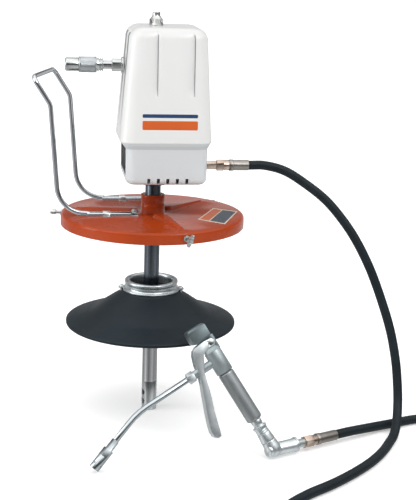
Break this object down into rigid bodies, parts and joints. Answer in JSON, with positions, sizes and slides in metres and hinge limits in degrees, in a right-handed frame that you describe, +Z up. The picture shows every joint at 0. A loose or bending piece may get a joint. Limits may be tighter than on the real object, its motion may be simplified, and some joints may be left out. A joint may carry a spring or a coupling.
{
  "type": "air-operated grease pump",
  "caption": "Air-operated pail pump for grease: hooded air motor on a pail cover with bail handle, pump tube, rubber follower, hose and lever gun.",
  "frame": {"origin": "centre of the flat underside of the pail cover, on the pump's axis", "axes": "+Z up along the pump tube, -X towards the air inlet, +X towards the grease outlet"},
  "size_m": [0.7802, 0.7502, 0.7061],
  "materials": {
    "cover_paint": "orange-red gloss paint on pressed steel",
    "hood_paint": "white gloss paint",
    "shroud_paint": "pale grey-white paint",
    "zinc": "bright zinc plate",
    "chrome_rod": "chromed rod",
    "chrome_bright": "polished chrome",
    "tube_steel": "dark blued steel tube",
    "hard_steel": "ground steel",
    "dark_steel": "blackened steel",
    "base_casting": "cast pump base",
    "motor_aluminium": "cast and machined aluminium",
    "seal_rubber": "black seal rubber",
    "sleeve_steel": "knurled grey steel",
    "copper_brass": "copper-coloured plated brass",
    "ferrule_steel": "crimped steel ferrule",
    "hose_rubber": "black hose cover",
    "gun_zinc": "zinc plated gun parts",
    "gun_grip_steel": "smooth grey steel grip",
    "gun_casting": "die-cast gun body",
    "follower_rubber": "black rubber follower",
    "ring_zinc": "turned zinc-plated ring"
  },
  "bodies": {
    "cover": {"drum_cover": "cover_paint", "cover_collar": "cover_paint", "collar_screw": "zinc", "bail_handle": "chrome_rod", "handle_clamps": "zinc", "handle_studs": "zinc", "handle_nuts": "zinc", "skirt_nuts": "zinc"},
    "thumb_left": {"thumb_screw_left": "zinc"},
    "thumb_front": {"thumb_screw_front": "zinc"},
    "thumb_back": {"thumb_screw_back": "zinc"},
    "pump": {"pump_tube": "tube_steel", "foot_valve_body": "tube_steel", "foot_valve_seat": "hard_steel", "ball_stop_pin": "hard_steel", "pump_base": "base_casting", "tube_lock_nut": "dark_steel", "rod_packing": "seal_rubber", "air_cylinder": "hard_steel", "cylinder_head": "motor_aluminium", "tie_bolts": "zinc", "valve_caps": "zinc", "exhaust_muffler": "chrome_bright", "motor_hood": "hood_paint", "lower_shroud": "shroud_paint", "hood_stud": "zinc", "hood_nut": "zinc", "inlet_nipple": "chrome_bright", "coupler_body": "chrome_bright", "coupler_end_nut": "chrome_bright", "outlet_adapter": "copper_brass", "hose_nut_pump": "copper_brass", "hose_ferrule_pump": "ferrule_steel", "grease_hose": "hose_rubber", "hose_ferrule_gun": "ferrule_steel", "hose_nut_gun": "copper_brass", "swivel_stem": "gun_zinc"},
    "inlet_sleeve": {"coupler_sleeve": "sleeve_steel"},
    "spool": {"valve_spool": "hard_steel"},
    "foot_check": {"foot_ball": "hard_steel"},
    "piston": {"air_piston": "motor_aluminium", "piston_seal": "seal_rubber", "piston_rod": "hard_steel", "pump_plunger": "hard_steel", "plunger_seal": "seal_rubber"},
    "plunger_check": {"plunger_ball": "hard_steel"},
    "follower": {"follower_cone": "follower_rubber", "follower_ring": "ring_zinc", "follower_screws": "zinc"},
    "elbow": {"swivel_elbow": "gun_zinc"},
    "gun": {"gun_swivel": "gun_zinc", "gun_grip": "gun_grip_steel", "gun_body": "gun_casting", "lever_pin": "chrome_bright", "valve_spring": "hard_steel", "outlet_nut": "gun_zinc", "extension_pipe": "gun_zinc", "grease_coupler": "gun_zinc"},
    "lever": {"gun_lever": "gun_zinc"},
    "gun_valve": {"valve_stem": "hard_steel"}
  },
  "joints": [
    {"name": "thumb_left_slide", "type": "slide", "parent": "cover", "child": "thumb_left", "axis": [-0.9659, 0.2588, 0], "range_m": [-0.008, 0.002]},
    {"name": "thumb_front_slide", "type": "slide", "parent": "cover", "child": "thumb_front", "axis": [0.2588, -0.9659, 0], "range_m": [-0.008, 0.002]},
    {"name": "thumb_back_slide", "type": "slide", "parent": "cover", "child": "thumb_back", "axis": [0.7071, 0.7071, 0], "range_m": [-0.008, 0.002]},
    {"name": "pump_slide", "type": "slide", "parent": "cover", "child": "pump", "axis": [0, 0, 1], "range_m": [0, 0.02]},
    {"name": "follower_slide", "type": "slide", "parent": "pump", "child": "follower", "axis": [0, 0, 1], "range_m": [-0.14, 0.09]},
    {"name": "piston_stroke", "type": "slide", "parent": "pump", "child": "piston", "axis": [0, 0, 1], "range_m": [0, 0.075]},
    {"name": "foot_ball_lift", "type": "slide", "parent": "pump", "child": "foot_check", "axis": [0, 0, 1], "range_m": [0, 0.004]},
    {"name": "plunger_ball_lift", "type": "slide", "parent": "piston", "child": "plunger_check", "axis": [0, 0, 1], "range_m": [0, 0.003]},
    {"name": "spool_shift", "type": "slide", "parent": "pump", "child": "spool", "axis": [0, 1, 0], "range_m": [0, 0.008]},
    {"name": "sleeve_release", "type": "slide", "parent": "pump", "child": "inlet_sleeve", "axis": [-1, 0, 0], "range_m": [0, 0.006], "stiffness_N_per_m": 400},
    {"name": "elbow_swivel", "type": "hinge", "parent": "pump", "child": "elbow", "pos_m": [0.185, -0.233, -0.3475], "axis": [0.91, 0.4147, 0], "range_deg": [0, 60]},
    {"name": "gun_swivel_turn", "type": "hinge", "parent": "elbow", "child": "gun", "pos_m": [0.185, -0.233, -0.3475], "axis": [-0.5227, 0.2701, 0.8086], "range_deg": [0, 60]},
    {"name": "lever_squeeze", "type": "hinge", "parent": "gun", "child": "lever", "pos_m": [0.0807, -0.17624, -0.17912], "axis": [-0.1034, 0.9214, -0.3746], "range_deg": [-12, 0], "stiffness_Nm_per_rad": 2, "springref_deg": 8.59},
    {"name": "valve_push", "type": "slide", "parent": "gun", "child": "gun_valve", "axis": [0.5227, -0.2701, -0.8086], "range_m": [0, 0.002], "deforming": ["valve_spring"]}
  ],
  "couplings": [
    {"joint": "valve_push", "follows": "lever_squeeze", "m_per_rad": -0.009549}
  ]
}
